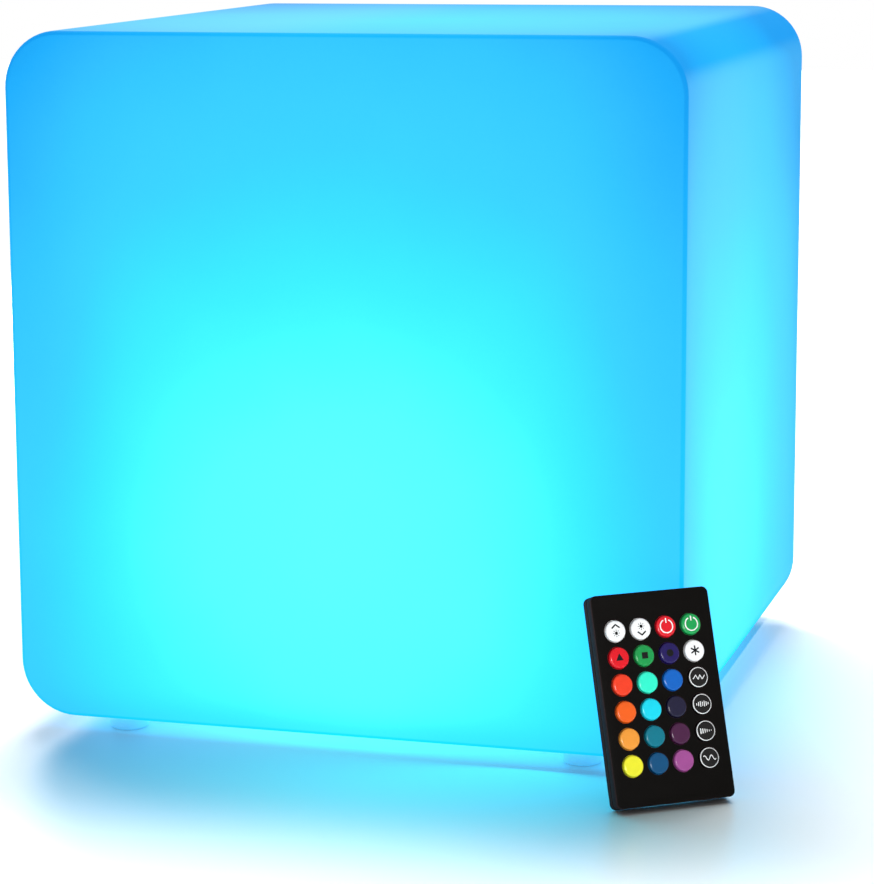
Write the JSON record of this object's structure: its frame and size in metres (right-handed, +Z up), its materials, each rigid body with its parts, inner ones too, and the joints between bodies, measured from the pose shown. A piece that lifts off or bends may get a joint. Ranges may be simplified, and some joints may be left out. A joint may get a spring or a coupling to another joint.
{
  "type": "floating pool light",
  "caption": "Hollow glowing cube light on four feet, with a twist-in rechargeable LED unit in its underside and a slim handheld remote with round keys leaning on it.",
  "frame": {"origin": "on the surface that the feet stand on, under the middle of the cube, on the axis of the twist-in light unit, whose flat underside is 1 mm above it", "axes": "+Z up, the cube's front face towards -Y and its right side towards +X; the remote leans on the front right vertical edge"},
  "size_m": [0.3233, 0.3427, 0.3065],
  "materials": {
    "glow_polyethylene": "translucent rotomoulded polyethylene, satin, lit from inside",
    "clear_silicone": "translucent silicone",
    "housing_white_abs": "fine moulded texture",
    "grey_rubber": "matt",
    "clear_polycarbonate": "clear, polished",
    "white_solder_mask": "white board with LED packages",
    "green_solder_mask": "circuit board",
    "black_abs": "moulded",
    "cell_wrap": "shrink wrap",
    "zinc_steel": "zinc plated",
    "smoked_epoxy": "dark epoxy",
    "remote_case_black": "satin moulded plastic, spark-eroded texture",
    "keypad_silicone": "matt silicone",
    "key_brightness_up": "glossy moulded key",
    "key_brightness_down": "glossy moulded key",
    "key_power_off": "glossy moulded key",
    "key_power_on": "glossy moulded key",
    "key_red": "glossy moulded key",
    "key_green": "glossy moulded key",
    "key_blue": "glossy moulded key",
    "key_white": "glossy moulded key",
    "key_vermilion": "glossy moulded key",
    "key_aqua": "glossy moulded key",
    "key_azure": "glossy moulded key",
    "key_mode_flash": "glossy moulded key",
    "key_orange": "glossy moulded key",
    "key_cyan": "glossy moulded key",
    "key_indigo": "glossy moulded key",
    "key_mode_strobe": "glossy moulded key",
    "key_amber": "glossy moulded key",
    "key_teal": "glossy moulded key",
    "key_plum": "glossy moulded key",
    "key_mode_fade": "glossy moulded key",
    "key_yellow": "glossy moulded key",
    "key_steel_blue": "glossy moulded key",
    "key_violet": "glossy moulded key",
    "key_mode_smooth": "glossy moulded key"
  },
  "bodies": {
    "cube": {"cube_shell": "glow_polyethylene", "foot_front_left": "clear_silicone", "foot_front_right": "clear_silicone", "foot_back_left": "clear_silicone", "foot_back_right": "clear_silicone"},
    "light_unit": {"unit_housing": "housing_white_abs", "neck_gasket": "grey_rubber", "battery_holder": "black_abs", "battery_cell_left": "cell_wrap", "battery_cell_right": "cell_wrap", "control_board": "green_solder_mask", "led_board": "white_solder_mask", "ir_receiver": "smoked_epoxy", "lens_gasket": "grey_rubber", "lens_dome": "clear_polycarbonate", "lens_screw_1": "zinc_steel", "lens_screw_2": "zinc_steel", "lens_screw_3": "zinc_steel", "lens_screw_4": "zinc_steel", "switch_board": "green_solder_mask", "tact_switch": "black_abs", "charge_socket": "zinc_steel", "button_bezel": "grey_rubber"},
    "power_button": {"power_button": "grey_rubber"},
    "charge_plug": {"charge_plug": "grey_rubber"},
    "remote": {"remote_front_case": "remote_case_black", "remote_back_case": "remote_case_black", "remote_keypad": "keypad_silicone", "remote_circuit_board": "green_solder_mask", "ir_emitter": "smoked_epoxy", "battery_contact": "zinc_steel"},
    "battery_tray": {"battery_tray": "remote_case_black", "coin_cell": "zinc_steel"},
    "key_brightness_up": {"key_brightness_up": "key_brightness_up"},
    "key_brightness_down": {"key_brightness_down": "key_brightness_down"},
    "key_power_off": {"key_power_off": "key_power_off"},
    "key_power_on": {"key_power_on": "key_power_on"},
    "key_red": {"key_red": "key_red"},
    "key_green": {"key_green": "key_green"},
    "key_blue": {"key_blue": "key_blue"},
    "key_white": {"key_white": "key_white"},
    "key_vermilion": {"key_vermilion": "key_vermilion"},
    "key_aqua": {"key_aqua": "key_aqua"},
    "key_azure": {"key_azure": "key_azure"},
    "key_mode_flash": {"key_mode_flash": "key_mode_flash"},
    "key_orange": {"key_orange": "key_orange"},
    "key_cyan": {"key_cyan": "key_cyan"},
    "key_indigo": {"key_indigo": "key_indigo"},
    "key_mode_strobe": {"key_mode_strobe": "key_mode_strobe"},
    "key_amber": {"key_amber": "key_amber"},
    "key_teal": {"key_teal": "key_teal"},
    "key_plum": {"key_plum": "key_plum"},
    "key_mode_fade": {"key_mode_fade": "key_mode_fade"},
    "key_yellow": {"key_yellow": "key_yellow"},
    "key_steel_blue": {"key_steel_blue": "key_steel_blue"},
    "key_violet": {"key_violet": "key_violet"},
    "key_mode_smooth": {"key_mode_smooth": "key_mode_smooth"}
  },
  "joints": [
    {"name": "unit_twist", "type": "hinge", "parent": "cube", "child": "light_unit", "pos_m": [0, 0, 0.012], "axis": [0, 0, 1], "range_deg": [0, 60]},
    {"name": "power_button_press", "type": "slide", "parent": "light_unit", "child": "power_button", "axis": [0, 0, 1], "range_m": [0, 0.0008], "stiffness_N_per_m": 900, "springref_m": -0.0015},
    {"name": "charge_plug_pull", "type": "slide", "parent": "light_unit", "child": "charge_plug", "axis": [0, 0, -1], "range_m": [0, 0.008]},
    {"name": "remote_lift", "type": "slide", "parent": "cube", "child": "remote", "axis": [0, 0, 1], "range_m": [0, 0.3]},
    {"name": "battery_tray_pull", "type": "slide", "parent": "remote", "child": "battery_tray", "axis": [0.2026, -0.2782, -0.9389], "range_m": [0, 0.027]},
    {"name": "key_brightness_up_press", "type": "slide", "parent": "remote", "child": "key_brightness_up", "axis": [-0.5528, 0.7589, -0.3442], "range_m": [0, 0.0006], "stiffness_N_per_m": 500, "springref_m": -0.0012},
    {"name": "key_brightness_down_press", "type": "slide", "parent": "remote", "child": "key_brightness_down", "axis": [-0.5528, 0.7589, -0.3442], "range_m": [0, 0.0006], "stiffness_N_per_m": 500, "springref_m": -0.0012},
    {"name": "key_power_off_press", "type": "slide", "parent": "remote", "child": "key_power_off", "axis": [-0.5528, 0.7589, -0.3442], "range_m": [0, 0.0006], "stiffness_N_per_m": 500, "springref_m": -0.0012},
    {"name": "key_power_on_press", "type": "slide", "parent": "remote", "child": "key_power_on", "axis": [-0.5528, 0.7589, -0.3442], "range_m": [0, 0.0006], "stiffness_N_per_m": 500, "springref_m": -0.0012},
    {"name": "key_red_press", "type": "slide", "parent": "remote", "child": "key_red", "axis": [-0.5528, 0.7589, -0.3442], "range_m": [0, 0.0006], "stiffness_N_per_m": 500, "springref_m": -0.0012},
    {"name": "key_green_press", "type": "slide", "parent": "remote", "child": "key_green", "axis": [-0.5528, 0.7589, -0.3442], "range_m": [0, 0.0006], "stiffness_N_per_m": 500, "springref_m": -0.0012},
    {"name": "key_blue_press", "type": "slide", "parent": "remote", "child": "key_blue", "axis": [-0.5528, 0.7589, -0.3442], "range_m": [0, 0.0006], "stiffness_N_per_m": 500, "springref_m": -0.0012},
    {"name": "key_white_press", "type": "slide", "parent": "remote", "child": "key_white", "axis": [-0.5528, 0.7589, -0.3442], "range_m": [0, 0.0006], "stiffness_N_per_m": 500, "springref_m": -0.0012},
    {"name": "key_vermilion_press", "type": "slide", "parent": "remote", "child": "key_vermilion", "axis": [-0.5528, 0.7589, -0.3442], "range_m": [0, 0.0006], "stiffness_N_per_m": 500, "springref_m": -0.0012},
    {"name": "key_aqua_press", "type": "slide", "parent": "remote", "child": "key_aqua", "axis": [-0.5528, 0.7589, -0.3442], "range_m": [0, 0.0006], "stiffness_N_per_m": 500, "springref_m": -0.0012},
    {"name": "key_azure_press", "type": "slide", "parent": "remote", "child": "key_azure", "axis": [-0.5528, 0.7589, -0.3442], "range_m": [0, 0.0006], "stiffness_N_per_m": 500, "springref_m": -0.0012},
    {"name": "key_mode_flash_press", "type": "slide", "parent": "remote", "child": "key_mode_flash", "axis": [-0.5528, 0.7589, -0.3442], "range_m": [0, 0.0006], "stiffness_N_per_m": 500, "springref_m": -0.0012},
    {"name": "key_orange_press", "type": "slide", "parent": "remote", "child": "key_orange", "axis": [-0.5528, 0.7589, -0.3442], "range_m": [0, 0.0006], "stiffness_N_per_m": 500, "springref_m": -0.0012},
    {"name": "key_cyan_press", "type": "slide", "parent": "remote", "child": "key_cyan", "axis": [-0.5528, 0.7589, -0.3442], "range_m": [0, 0.0006], "stiffness_N_per_m": 500, "springref_m": -0.0012},
    {"name": "key_indigo_press", "type": "slide", "parent": "remote", "child": "key_indigo", "axis": [-0.5528, 0.7589, -0.3442], "range_m": [0, 0.0006], "stiffness_N_per_m": 500, "springref_m": -0.0012},
    {"name": "key_mode_strobe_press", "type": "slide", "parent": "remote", "child": "key_mode_strobe", "axis": [-0.5528, 0.7589, -0.3442], "range_m": [0, 0.0006], "stiffness_N_per_m": 500, "springref_m": -0.0012},
    {"name": "key_amber_press", "type": "slide", "parent": "remote", "child": "key_amber", "axis": [-0.5528, 0.7589, -0.3442], "range_m": [0, 0.0006], "stiffness_N_per_m": 500, "springref_m": -0.0012},
    {"name": "key_teal_press", "type": "slide", "parent": "remote", "child": "key_teal", "axis": [-0.5528, 0.7589, -0.3442], "range_m": [0, 0.0006], "stiffness_N_per_m": 500, "springref_m": -0.0012},
    {"name": "key_plum_press", "type": "slide", "parent": "remote", "child": "key_plum", "axis": [-0.5528, 0.7589, -0.3442], "range_m": [0, 0.0006], "stiffness_N_per_m": 500, "springref_m": -0.0012},
    {"name": "key_mode_fade_press", "type": "slide", "parent": "remote", "child": "key_mode_fade", "axis": [-0.5528, 0.7589, -0.3442], "range_m": [0, 0.0006], "stiffness_N_per_m": 500, "springref_m": -0.0012},
    {"name": "key_yellow_press", "type": "slide", "parent": "remote", "child": "key_yellow", "axis": [-0.5528, 0.7589, -0.3442], "range_m": [0, 0.0006], "stiffness_N_per_m": 500, "springref_m": -0.0012},
    {"name": "key_steel_blue_press", "type": "slide", "parent": "remote", "child": "key_steel_blue", "axis": [-0.5528, 0.7589, -0.3442], "range_m": [0, 0.0006], "stiffness_N_per_m": 500, "springref_m": -0.0012},
    {"name": "key_violet_press", "type": "slide", "parent": "remote", "child": "key_violet", "axis": [-0.5528, 0.7589, -0.3442], "range_m": [0, 0.0006], "stiffness_N_per_m": 500, "springref_m": -0.0012},
    {"name": "key_mode_smooth_press", "type": "slide", "parent": "remote", "child": "key_mode_smooth", "axis": [-0.5528, 0.7589, -0.3442], "range_m": [0, 0.0006], "stiffness_N_per_m": 500, "springref_m": -0.0012}
  ]
}
